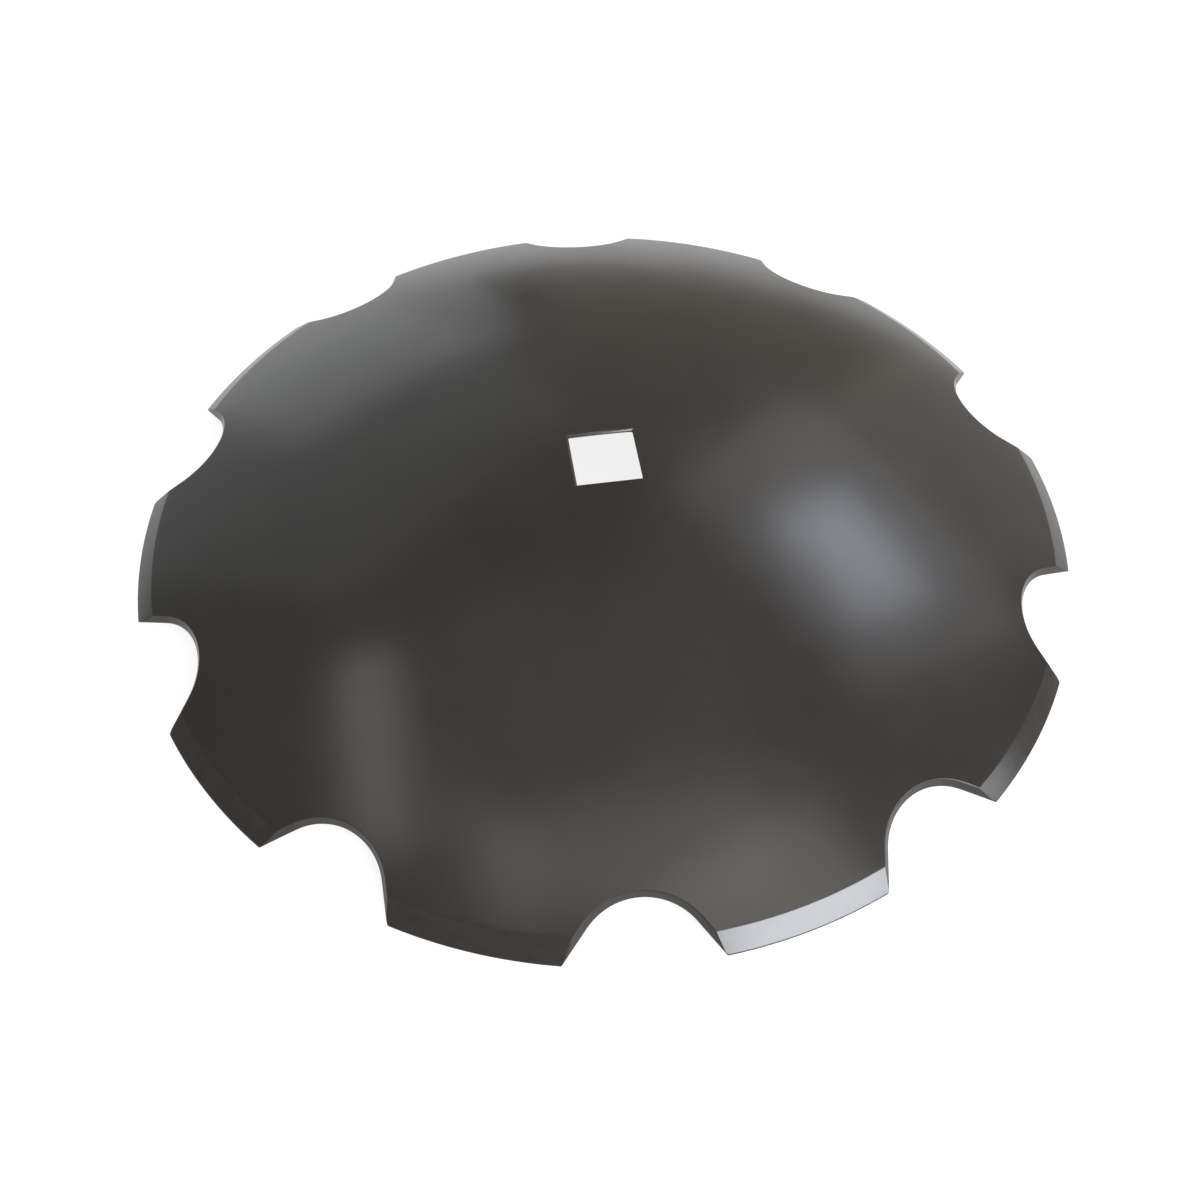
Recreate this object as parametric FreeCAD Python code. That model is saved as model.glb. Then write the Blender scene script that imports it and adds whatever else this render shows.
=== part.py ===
"""Notched harrow disc blade: one dished steel plate with a square axle hole.

Millimetres. The blade lies on its rim with the hollow side down. The disc's axis is Z, the
dome rises along +Z, and the lower corner of the cutting edge lies in the plane Z = 0.
The sides of the axle hole run along X and Y.
"""
import FreeCAD, Part
import math
import os

# The dished plate
DISC_DIAMETER = 560.0
DISH_RADIUS = 600.0             # sphere of the hollow face; the domed face is concentric
PLATE_THICKNESS = 4.0

# The bevel ground on the domed face of every tooth
TOOTH_BEVEL_WIDTH = 10.0        # in plan, inwards from the cutting edge
TOOTH_EDGE_THICKNESS = 1.0      # blunt land left at the cutting edge

# The notches round the rim: a round root that opens into two straight flanks
NOTCH_COUNT = 10
NOTCH_RADIUS = 35.5
NOTCH_DEPTH = 34.5              # along the dish, from the rim to the notch's root
NOTCH_FLANK_ANGLE = 38.0        # between a flank and the notch's own centre line
NOTCH_TURN = 13.5               # from the X axis to the first notch
NOTCH_BEVEL_WIDTH = 3.5         # across the domed face
NOTCH_EDGE_THICKNESS = 1.0      # land left below the notch's bevel

# The axle hole
AXLE_WIDTH = 40.0
AXLE_CLEARANCE = 0.5            # on each side of the square axle
HOLE_CORNER_RADIUS = 3.0
HOLE_EDGE_BREAK = 0.8           # chamfer where the hole meets the domed face

TOOL_REACH = 20.0               # how far a cutting tool runs clear of the plate

RIM_RADIUS = DISC_DIAMETER / 2
DOME_RADIUS = DISH_RADIUS + PLATE_THICKNESS
DISH_CENTRE = FreeCAD.Vector(0, 0, -math.sqrt(DISH_RADIUS**2 - RIM_RADIUS**2))
UP = FreeCAD.Vector(0, 0, 1)
ACROSS = FreeCAD.Vector(0, 1, 0)


def sphere_point(radius, plan_radius):
    """Point of the XZ section on a sphere about the dish's centre."""
    height = math.sqrt(radius**2 - plan_radius**2)
    return FreeCAD.Vector(plan_radius, 0, DISH_CENTRE.z + height)


def sphere_arc(radius, from_plan_radius, to_plan_radius):
    """Arc of the XZ section on a sphere about the dish's centre."""
    ends = [sphere_point(radius, r) for r in (from_plan_radius, to_plan_radius)]
    middle = sphere_point(radius, (from_plan_radius + to_plan_radius) / 2)
    return Part.Arc(ends[0], middle, ends[1]).toShape()


def dished_plate():
    """The full round plate, turned from its section with the bevel on the rim."""
    bevel_start = RIM_RADIUS - TOOTH_BEVEL_WIDTH
    edge_bottom = sphere_point(DISH_RADIUS, RIM_RADIUS)
    edge_top = edge_bottom + UP * TOOTH_EDGE_THICKNESS
    bevel_top = sphere_point(DOME_RADIUS, bevel_start)
    crown_top = sphere_point(DOME_RADIUS, 0)
    crown_bottom = sphere_point(DISH_RADIUS, 0)
    section = Part.Wire([
        sphere_arc(DISH_RADIUS, 0, RIM_RADIUS),
        Part.makeLine(edge_bottom, edge_top),
        Part.makeLine(edge_top, bevel_top),
        sphere_arc(DOME_RADIUS, bevel_start, 0),
        Part.makeLine(crown_top, crown_bottom),
    ])
    return Part.Face(section).revolve(FreeCAD.Vector(), UP, 360)


def notch_outline(height, root_radius):
    """Closed outline of a notch at a height along its axis, opening towards +X."""
    flank = math.radians(NOTCH_FLANK_ANGLE)
    along = FreeCAD.Vector(math.cos(flank), math.sin(flank), 0)
    tangent = FreeCAD.Vector(-math.sin(flank), math.cos(flank), 0) * root_radius
    mouth = tangent + along * ((TOOL_REACH - tangent.x) / along.x)
    root = FreeCAD.Vector(-root_radius, 0, height)
    left = [FreeCAD.Vector(p.x, p.y, height) for p in (mouth, tangent)]
    right = [FreeCAD.Vector(p.x, -p.y, height) for p in (tangent, mouth)]
    return Part.Wire([
        Part.makeLine(left[0], left[1]),
        Part.Arc(left[1], root, right[0]).toShape(),
        Part.makeLine(right[0], right[1]),
        Part.makeLine(right[1], left[0]),
    ])


def notch_tool():
    """Punch for the notch on the X axis: its walls stand square to the dish and then flare."""
    land_radius = DISH_RADIUS + NOTCH_EDGE_THICKNESS
    land_height = math.sqrt(land_radius**2 - NOTCH_RADIUS**2)
    low_height = land_height - TOOL_REACH
    high_height = land_height + TOOL_REACH
    flare = NOTCH_BEVEL_WIDTH / (PLATE_THICKNESS - NOTCH_EDGE_THICKNESS)
    punch = Part.makeLoft([
        notch_outline(low_height, NOTCH_RADIUS * low_height / land_height),
        notch_outline(land_height, NOTCH_RADIUS),
        notch_outline(high_height, NOTCH_RADIUS + TOOL_REACH * flare),
    ], True, True)
    rim_angle = math.degrees(math.asin(RIM_RADIUS / DISH_RADIUS))
    centre_angle = rim_angle + math.degrees((NOTCH_RADIUS - NOTCH_DEPTH) / DISH_RADIUS)
    punch.Placement = FreeCAD.Placement(DISH_CENTRE, FreeCAD.Rotation(ACROSS, centre_angle))
    return punch


def notch_tools():
    """The punch repeated round the rim."""
    punch = notch_tool()
    tools = []
    for index in range(NOTCH_COUNT):
        tool = punch.copy()
        tool.rotate(FreeCAD.Vector(), UP, NOTCH_TURN + index * 360 / NOTCH_COUNT)
        tools.append(tool)
    return tools


def axle_hole_tool():
    """Square punch with rounded corners for the axle hole."""
    width = AXLE_WIDTH + 2 * AXLE_CLEARANCE
    base = sphere_point(DISH_RADIUS, 0) - FreeCAD.Vector(width / 2, width / 2, TOOL_REACH)
    punch = Part.makeBox(width, width, PLATE_THICKNESS + 2 * TOOL_REACH, base)
    corners = [edge for edge in punch.Edges if edge.BoundBox.ZLength > PLATE_THICKNESS]
    return punch.makeFillet(HOLE_CORNER_RADIUS, corners)


def break_hole_edge(plate):
    """Chamfer the hole's edges on the domed face."""
    half_diagonal = (AXLE_WIDTH / 2 + AXLE_CLEARANCE) * math.sqrt(2)
    lowest = sphere_point(DOME_RADIUS, half_diagonal).z - HOLE_EDGE_BREAK
    upper_edges = [edge for edge in plate.Edges if edge.BoundBox.ZMin > lowest]
    return plate.makeChamfer(HOLE_EDGE_BREAK, upper_edges)


def disc_blade():
    """The finished blade as one solid."""
    plate = dished_plate().cut(notch_tools() + [axle_hole_tool()])
    return break_hole_edge(plate.Solids[0])


def main():
    os.makedirs("parts", exist_ok=True)
    disc_blade().exportStep("parts/disc_blade.step")


main()
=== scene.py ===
"""The finish of a notched harrow disc blade, and the studio that shows it.

Sizes are in millimetres and turned to metres by mm(). The frame is the blade's own: the
disc's axis is Z, the blade lies on its rim on the plane Z = 0 with its dome upwards, and the
sides of the axle hole run along X and Y.
"""
import math

import bpy
from mathutils import Matrix, Vector


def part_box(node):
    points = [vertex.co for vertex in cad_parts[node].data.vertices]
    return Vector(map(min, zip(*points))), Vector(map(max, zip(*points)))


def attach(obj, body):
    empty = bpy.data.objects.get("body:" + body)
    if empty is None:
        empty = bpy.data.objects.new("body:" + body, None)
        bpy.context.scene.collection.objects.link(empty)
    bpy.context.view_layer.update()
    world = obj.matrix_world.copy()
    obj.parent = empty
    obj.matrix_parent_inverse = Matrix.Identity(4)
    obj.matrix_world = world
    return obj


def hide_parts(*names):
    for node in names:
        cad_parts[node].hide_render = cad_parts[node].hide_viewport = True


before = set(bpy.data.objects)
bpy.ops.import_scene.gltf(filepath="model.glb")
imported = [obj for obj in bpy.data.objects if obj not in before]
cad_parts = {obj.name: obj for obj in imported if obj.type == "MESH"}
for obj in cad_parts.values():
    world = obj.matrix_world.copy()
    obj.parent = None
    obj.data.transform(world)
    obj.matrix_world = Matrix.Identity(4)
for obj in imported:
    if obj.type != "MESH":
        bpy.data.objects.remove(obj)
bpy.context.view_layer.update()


def mm(size):
    """Millimetres to metres."""
    return size / 1000


# The blade
BLADE_LOW, BLADE_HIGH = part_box("disc_blade")
RIM_RADIUS = BLADE_HIGH.x
DISH_RADIUS = mm(600)
PLATE_THICKNESS = mm(4)
DISH_CENTRE_Z = -math.sqrt(DISH_RADIUS**2 - RIM_RADIUS**2)
TOOTH_BEVEL_WIDTH = mm(10)
TOOTH_EDGE_THICKNESS = mm(1)
NOTCH_COUNT = 10
NOTCH_TURN = 13.5
NOTCH_RADIUS = mm(35.5)
NOTCH_DEPTH = mm(34.5)
NOTCH_FLANK_ANGLE = 38.0
NOTCH_BEVEL_WIDTH = mm(3.5)
NOTCH_EDGE_THICKNESS = mm(1)
HOLE_WIDTH = mm(41)
HOLE_CORNER_RADIUS = mm(3)
HOLE_EDGE_BREAK = mm(0.8)
TOOL_REACH = mm(20)
EDGE_ROUNDING = mm(0.35)
SEGMENTS = 300

# The studio
LAMP_DISTANCE = 4.0
ROOM_LIGHT = (0.305, 0.304, 0.296)
# Name, degrees round from +Y towards +X, degrees up, width and height in degrees, lean, watts, tint
SOFTBOXES = [
    ("window", 58, 45, 18, 13, 0, 18, "#E4EBFF"),
    ("window_glow", 55, 43, 40, 30, 0, 18.4, "#FFFFFF"),
    ("left_wall", -29, 18, 44, 62, 12, 18.2, "#F6FAFF"),
    ("left_wall_low", -16, 6, 28, 34, 4, 11, "#F6FAFF"),
    ("far_wall", 21, 22, 36, 50, 0, 5.5, "#FFE9C0"),
    ("right_wall", 52, 14, 30, 26, 0, 5.1, "#FFF6E4"),
    ("left_beam", -86, 58, 28, 8, 0, 7.5, "#FFFFFF"),
    ("back_beam", -130, 66, 18, 9, 0, 1.4, "#FFFFFF"),
    ("ceiling", 0, 86, 40, 30, 0, 3.7, "#FFF6E4"),
    ("back_ceiling", 178, 70, 40, 16, 0, 11.2, "#FFF9EE"),
    ("key", 152, 56, 34, 18, 0, 17.3, "#FFFFFF"),
    ("key_low", 148, 29, 34, 20, 0, 190, "#F6F8FF"),
    ("key_side", 117, 20, 26, 16, 0, 30, "#F6F8FF"),
]
CAMERA_PLACE = (mm(-94.65), mm(-591.94), mm(720.02))
CAMERA_AIM = (mm(-9.8), mm(-47), 0)
CAMERA_ROLL = 0.31


# ---------------------------------------------------------------- modelling helpers

def start_clean():
    """Leave edit mode and deselect everything."""
    if bpy.context.object and bpy.context.object.mode == "EDIT":
        bpy.ops.object.mode_set(mode="OBJECT")
    bpy.ops.object.select_all(action="DESELECT")


def edit(piece):
    """Select one piece and open it in edit mode with all of it selected."""
    start_clean()
    bpy.context.view_layer.objects.active = piece
    piece.select_set(True)
    bpy.ops.object.mode_set(mode="EDIT")
    bpy.ops.mesh.select_all(action="SELECT")


def name_new(name):
    """Name the primitive that was just added."""
    piece = bpy.context.object
    piece.name = name
    piece.data.name = name
    return piece


def select_only(piece, kind, wanted):
    """Open the piece in edit mode with just the vertices, edges or faces that wanted() accepts."""
    if piece.mode == "EDIT":
        bpy.ops.object.mode_set(mode="OBJECT")
    mesh = piece.data
    parts = {"VERT": mesh.vertices, "EDGE": mesh.edges, "FACE": mesh.polygons}
    for elements in parts.values():
        elements.foreach_set("select", [False] * len(elements))
    for element in parts[kind]:
        element.select = wanted(element)
    bpy.ops.object.mode_set(mode="EDIT")
    bpy.ops.mesh.select_mode(type=kind)


def grow_upwards(steps):
    """Extrude the selected top outline through (rise, scale) steps."""
    for rise, scale in steps:
        bpy.ops.mesh.extrude_region_move(TRANSFORM_OT_translate={"value": (0, 0, rise)})
        bpy.ops.transform.resize(value=(scale, scale, 1), center_override=(0, 0, 0))


def cut(piece, tool, operation="DIFFERENCE"):
    """Apply one boolean cut and delete the tool."""
    start_clean()
    bpy.context.view_layer.objects.active = piece
    piece.select_set(True)
    boolean = piece.modifiers.new("cut", "BOOLEAN")
    boolean.operation = operation
    boolean.solver = "MANIFOLD"
    boolean.object = tool
    bpy.ops.object.modifier_apply(modifier=boolean.name)
    bpy.data.objects.remove(tool)


# ---------------------------------------------------------------- the blade

def pressed_sheet():
    """The dished sheet before its rim is ground: a spherical cap with the plate's thickness."""
    start_clean()
    bpy.ops.mesh.primitive_uv_sphere_add(
        segments=SEGMENTS, ring_count=240, radius=DISH_RADIUS,
        location=(0, 0, DISH_CENTRE_Z))
    sheet = name_new("blade")
    bpy.ops.object.transform_apply()
    edit(sheet)
    bpy.ops.mesh.bisect(plane_co=(0, 0, -mm(4)), plane_no=(0, 0, 1), clear_inner=True)
    bpy.ops.object.mode_set(mode="OBJECT")
    solidify = sheet.modifiers.new("plate", "SOLIDIFY")
    solidify.thickness = PLATE_THICKNESS
    solidify.offset = 1
    bpy.ops.object.modifier_apply(modifier=solidify.name)
    return sheet


def rim_form():
    """The solid that the ground rim fits: an upright land, then the teeth's bevel."""
    dome_radius = DISH_RADIUS + PLATE_THICKNESS
    bevel_radius = RIM_RADIUS - TOOTH_BEVEL_WIDTH
    bevel_top = DISH_CENTRE_Z + math.sqrt(dome_radius**2 - bevel_radius**2)
    rise = (bevel_top - TOOTH_EDGE_THICKNESS) / TOOTH_BEVEL_WIDTH
    top_radius = RIM_RADIUS - mm(110)
    depth = mm(30)
    start_clean()
    bpy.ops.mesh.primitive_cylinder_add(
        vertices=SEGMENTS, radius=RIM_RADIUS, depth=depth,
        location=(0, 0, TOOTH_EDGE_THICKNESS - depth / 2))
    form = name_new("rim_form")
    bpy.ops.object.transform_apply()
    select_only(form, "FACE", lambda face: face.normal.z > 0.9)
    grow_upwards([((RIM_RADIUS - top_radius) * rise, top_radius / RIM_RADIUS)])
    bpy.ops.object.mode_set(mode="OBJECT")
    return form


def notch_outline():
    """The notch's round root and straight flanks, as a flat face about the notch's own axis."""
    flank = math.radians(NOTCH_FLANK_ANGLE)
    tangent_x = -NOTCH_RADIUS * math.sin(flank)
    mouth = TOOL_REACH - tangent_x
    start_clean()
    bpy.ops.mesh.primitive_circle_add(vertices=180, radius=NOTCH_RADIUS)
    outline = name_new("notch_punch")
    select_only(outline, "VERT", lambda vertex: vertex.co.x > tangent_x + mm(0.01))
    bpy.ops.mesh.delete(type="VERT")
    for side in (1, -1):
        bpy.ops.object.mode_set(mode="OBJECT")
        end = max(side * vertex.co.y for vertex in outline.data.vertices)
        select_only(outline, "VERT", lambda vertex: side * vertex.co.y > end - mm(0.01))
        bpy.ops.mesh.extrude_region_move(TRANSFORM_OT_translate={
            "value": (mouth, side * mouth * math.tan(flank), 0)})
    bpy.ops.mesh.select_all(action="SELECT")
    bpy.ops.mesh.edge_face_add()
    return outline


def notch_punch():
    """One punch, with its axis on Z and the dish's centre at the origin: walls square to the
    sheet up to the land, then flared to leave the notch's bevel."""
    land_height = math.sqrt((DISH_RADIUS + NOTCH_EDGE_THICKNESS)**2 - NOTCH_RADIUS**2)
    low_height = land_height - TOOL_REACH
    flare = NOTCH_BEVEL_WIDTH / (PLATE_THICKNESS - NOTCH_EDGE_THICKNESS)
    punch = notch_outline()
    narrow = low_height / land_height
    bpy.ops.transform.resize(value=(narrow, narrow, 1), center_override=(0, 0, 0))
    bpy.ops.transform.translate(value=(0, 0, low_height))
    above = 2 * PLATE_THICKNESS
    grow_upwards([
        (TOOL_REACH, 1 / narrow),
        (above, 1 + above * flare / NOTCH_RADIUS),
    ])
    face_outwards(punch)
    return punch


def notch_punches():
    """The punch repeated round the rim, as one tool."""
    rim_angle = math.asin(RIM_RADIUS / DISH_RADIUS)
    tilt = Matrix.Rotation(rim_angle + (NOTCH_RADIUS - NOTCH_DEPTH) / DISH_RADIUS, 4, "Y")
    to_dish = Matrix.Translation((0, 0, DISH_CENTRE_Z))
    first = notch_punch()
    punches = [first]
    for index in range(1, NOTCH_COUNT):
        copy = bpy.data.objects.new(f"notch_punch_{index}", first.data.copy())
        bpy.context.scene.collection.objects.link(copy)
        punches.append(copy)
    start_clean()
    for index, punch in enumerate(punches):
        turn = math.radians(NOTCH_TURN + index * 360 / NOTCH_COUNT)
        punch.matrix_world = Matrix.Rotation(turn, 4, "Z") @ to_dish @ tilt
        punch.select_set(True)
    bpy.context.view_layer.objects.active = first
    bpy.ops.object.join()
    return first


def axle_punch():
    """Square punch with rounded corners that widens where it leaves the domed face."""
    half_diagonal = HOLE_WIDTH / math.sqrt(2)
    dome_radius = DISH_RADIUS + PLATE_THICKNESS
    edge_height = DISH_CENTRE_Z + math.sqrt(dome_radius**2 - half_diagonal**2)
    straight = edge_height - HOLE_EDGE_BREAK
    depth = mm(40)
    start_clean()
    bpy.ops.mesh.primitive_cube_add(size=1, location=(0, 0, straight - depth / 2))
    punch = name_new("axle_punch")
    punch.scale = (HOLE_WIDTH, HOLE_WIDTH, depth)
    bpy.ops.object.transform_apply()
    corners = punch.data.vertices
    select_only(punch, "EDGE", lambda edge: corners[edge.vertices[0]].co.z
                != corners[edge.vertices[1]].co.z)
    bpy.ops.mesh.bevel(offset=HOLE_CORNER_RADIUS, segments=8, affect="EDGES")
    bpy.ops.object.mode_set(mode="OBJECT")
    select_only(punch, "FACE", lambda face: face.normal.z > 0.9)
    grow_upwards([(mm(6), 1 + 2 * mm(6) / HOLE_WIDTH)])
    face_outwards(punch)
    return punch


def face_outwards(piece):
    """Make a closed tool's normals point outwards, and leave edit mode."""
    edit(piece)
    bpy.ops.mesh.normals_make_consistent(inside=False)
    bpy.ops.object.mode_set(mode="OBJECT")


def is_ground(face, dish_centre):
    """True for the bevels and lands, whose faces don't run along the dish."""
    outwards = (face.center - dish_centre).normalized()
    return abs(face.normal.dot(outwards)) < math.cos(math.radians(5))


def blade():
    """The finished blade: pressed, ground, notched and punched, with its edges just broken."""
    piece = pressed_sheet()
    for finish in (black_lacquer(), ground_edge_with_painted_sheen()):
        piece.data.materials.append(finish)
    cut(piece, rim_form(), "INTERSECT")
    cut(piece, notch_punches())
    cut(piece, axle_punch())
    edit(piece)
    bpy.ops.mesh.remove_doubles(threshold=mm(0.02))
    bpy.ops.object.mode_set(mode="OBJECT")
    dish_centre = Vector((0, 0, DISH_CENTRE_Z))
    # Bevels and lands take the ground finish, whose lighter colour is partly a painted sheen.
    for face in piece.data.polygons:
        face.material_index = int(is_ground(face, dish_centre))
    bevel = piece.modifiers.new("broken_edges", "BEVEL")
    bevel.limit_method = "ANGLE"
    bevel.angle_limit = math.radians(12)
    bevel.width = EDGE_ROUNDING
    bevel.segments = 2
    bevel.use_clamp_overlap = False
    # The broken edges take the ground finish too, so its painted sheen lies along them as thin
    # light lines.
    bevel.material = 1
    bpy.ops.object.modifier_apply(modifier=bevel.name)
    bpy.ops.object.shade_smooth_by_angle(angle=math.radians(9))
    return piece


# ---------------------------------------------------------------- finishes

def colour(code):
    """An sRGB hex colour as linear RGBA."""
    channels = [int(code[start:start + 2], 16) / 255 for start in (1, 3, 5)]
    linear = [c / 12.92 if c <= 0.04045 else ((c + 0.055) / 1.055)**2.4 for c in channels]
    return (*linear, 1)


def add_node(material, kind, settings=None, links=None):
    """Add one node. Settings are its properties or unlinked sockets; links feed its sockets."""
    node = material.node_tree.nodes.new(kind)
    for name, value in (settings or {}).items():
        if hasattr(node, str(name)):
            setattr(node, name, value)
        else:
            node.inputs[name].default_value = value
    for name, source in (links or {}).items():
        material.node_tree.links.new(source, node.inputs[name])
    return node


def new_material(name):
    """An empty node material and its output node."""
    material = bpy.data.materials.new(name)
    material.use_nodes = True
    material.node_tree.nodes.clear()
    return material, add_node(material, "ShaderNodeOutputMaterial")


def black_lacquer():
    """Pressed steel dipped in black lacquer: a satin film, faintly mottled, over the fine
    orange peel of the dip and the slow waves that pressing leaves in the sheet."""
    material, output = new_material("black_lacquer_on_pressed_steel")
    place = add_node(material, "ShaderNodeTexCoord").outputs["Object"]
    mottle = add_node(material, "ShaderNodeTexNoise", {
        "Scale": 1 / mm(55), "Detail": 4.0, "Roughness": 0.6}, {"Vector": place})
    base = add_node(material, "ShaderNodeMix", {
        "data_type": "RGBA", 6: colour("#232120"), 7: colour("#2C2A26")},
        {0: mottle.outputs["Fac"]})
    gloss = add_node(material, "ShaderNodeMapRange", {
        "From Min": 0.3, "From Max": 0.7, "To Min": 0.19, "To Max": 0.23},
        {"Value": mottle.outputs["Fac"]})
    peel = add_node(material, "ShaderNodeTexNoise", {
        "Scale": 1 / mm(2), "Detail": 2.0}, {"Vector": place})
    peel_bump = add_node(material, "ShaderNodeBump", {
        "Strength": 1.0, "Distance": mm(0.01)}, {"Height": peel.outputs["Fac"]})
    waves = add_node(material, "ShaderNodeTexNoise", {
        "Scale": 1 / mm(90), "Detail": 1.0}, {"Vector": place})
    wave_bump = add_node(material, "ShaderNodeBump", {
        "Strength": 1.0, "Distance": mm(0.5)},
        {"Height": waves.outputs["Fac"], "Normal": peel_bump.outputs["Normal"]})
    surface = add_node(material, "ShaderNodeBsdfPrincipled", {
        "IOR": 1.5}, {
        "Base Color": base.outputs[2], "Roughness": gloss.outputs[0],
        "Normal": wave_bump.outputs["Normal"]})
    material.node_tree.links.new(surface.outputs[0], output.inputs["Surface"])
    return material


def ground_edge_with_painted_sheen():
    """The ground bevels and lands under a thinner coat of the same lacquer, coloured a little
    lighter than the dome as a painted sheen for the light that the bevels catch.
    """
    material, output = new_material("thin_lacquer_and_painted_sheen_on_ground_steel")
    place = add_node(material, "ShaderNodeTexCoord").outputs["Object"]
    marks = add_node(material, "ShaderNodeTexNoise", {
        "Scale": 1 / mm(8), "Detail": 4.0}, {"Vector": place})
    # These greys are partly a painted sheen: they sit lighter than the dome's lacquer to stand in
    # for the light the bevels reflect.
    base = add_node(material, "ShaderNodeMix", {
        "data_type": "RGBA", 6: colour("#262423"), 7: colour("#34322E")},
        {0: marks.outputs["Fac"]})
    surface = add_node(material, "ShaderNodeBsdfPrincipled", {
        "Roughness": 0.22, "IOR": 1.5}, {"Base Color": base.outputs[2]})
    material.node_tree.links.new(surface.outputs[0], output.inputs["Surface"])
    return material


def studio_floor_paint():
    """Matt pale floor that shows white to the eye but lights the blade as plain pale card."""
    material, output = new_material("matt_white_studio_floor")
    paint = add_node(material, "ShaderNodeBsdfDiffuse", {"Color": (0.3, 0.3, 0.3, 1)})
    path = add_node(material, "ShaderNodeLightPath")
    seen = add_node(material, "ShaderNodeMath", {"operation": "MAXIMUM"}, {
        0: path.outputs["Is Camera Ray"], 1: path.outputs["Is Glossy Ray"]})
    seen_or_through = add_node(material, "ShaderNodeMath", {"operation": "MAXIMUM"}, {
        0: seen.outputs[0], 1: path.outputs["Is Transmission Ray"]})
    strength = add_node(material, "ShaderNodeMath", {"operation": "MULTIPLY", 1: 0.85}, {
        0: seen_or_through.outputs[0]})
    glow = add_node(material, "ShaderNodeEmission", links={"Strength": strength.outputs[0]})
    both = add_node(material, "ShaderNodeAddShader", links={
        0: paint.outputs[0], 1: glow.outputs[0]})
    material.node_tree.links.new(both.outputs[0], output.inputs["Surface"])
    return material


# ---------------------------------------------------------------- the studio

def direction(azimuth, elevation):
    """Unit vector at degrees round from +Y towards +X, and degrees above the floor."""
    turn = math.radians(azimuth)
    rise = math.radians(elevation)
    return Vector((
        math.sin(turn) * math.cos(rise), math.cos(turn) * math.cos(rise), math.sin(rise)))


def softbox(name, azimuth, elevation, width, height, lean, watts, tint):
    """A rectangular soft lamp, sized in degrees as seen from the blade, and facing it."""
    lamp = bpy.data.lights.new(name, "AREA")
    lamp.shape = "RECTANGLE"
    lamp.size = 2 * LAMP_DISTANCE * math.tan(math.radians(width / 2))
    lamp.size_y = 2 * LAMP_DISTANCE * math.tan(math.radians(height / 2))
    lamp.energy = watts
    lamp.color = colour(tint)[:3]
    towards = direction(azimuth, elevation)
    place = bpy.data.objects.new(name, lamp)
    place.location = towards * LAMP_DISTANCE
    upright = towards.to_track_quat("Z", "Y")
    leaning = upright @ Matrix.Rotation(math.radians(lean), 3, "Z").to_quaternion()
    place.rotation_euler = leaning.to_euler()
    place.visible_camera = False
    bpy.context.scene.collection.objects.link(place)


def floor():
    """A plain floor that the blade's rim rests on."""
    start_clean()
    bpy.ops.mesh.primitive_plane_add(size=12)
    surface = name_new("floor")
    surface.data.materials.append(studio_floor_paint())


def lamps():
    """The softboxes round the blade, and an even fill from the room."""
    for box in SOFTBOXES:
        softbox(*box)
    world = bpy.data.worlds.new("room")
    world.use_nodes = True
    world.node_tree.nodes["Background"].inputs["Color"].default_value = (*ROOM_LIGHT, 1)
    world.node_tree.nodes["Background"].inputs["Strength"].default_value = 1
    bpy.context.scene.world = world


def camera():
    """The camera, above and in front of the blade."""
    lens = bpy.data.cameras.new("camera")
    lens.lens = 45.98
    lens.sensor_width = 36
    view = bpy.data.objects.new("camera", lens)
    view.location = CAMERA_PLACE
    aim = Vector(CAMERA_AIM) - Vector(CAMERA_PLACE)
    roll = Matrix.Rotation(math.radians(CAMERA_ROLL), 3, "Z").to_quaternion()
    view.rotation_euler = (aim.to_track_quat("-Z", "Y") @ roll).to_euler()
    bpy.context.scene.collection.objects.link(view)
    bpy.context.scene.camera = view


finished = blade()
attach(finished, "root")
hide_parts("disc_blade")
floor()
lamps()
camera()
bpy.context.scene.view_settings.view_transform = "Standard"
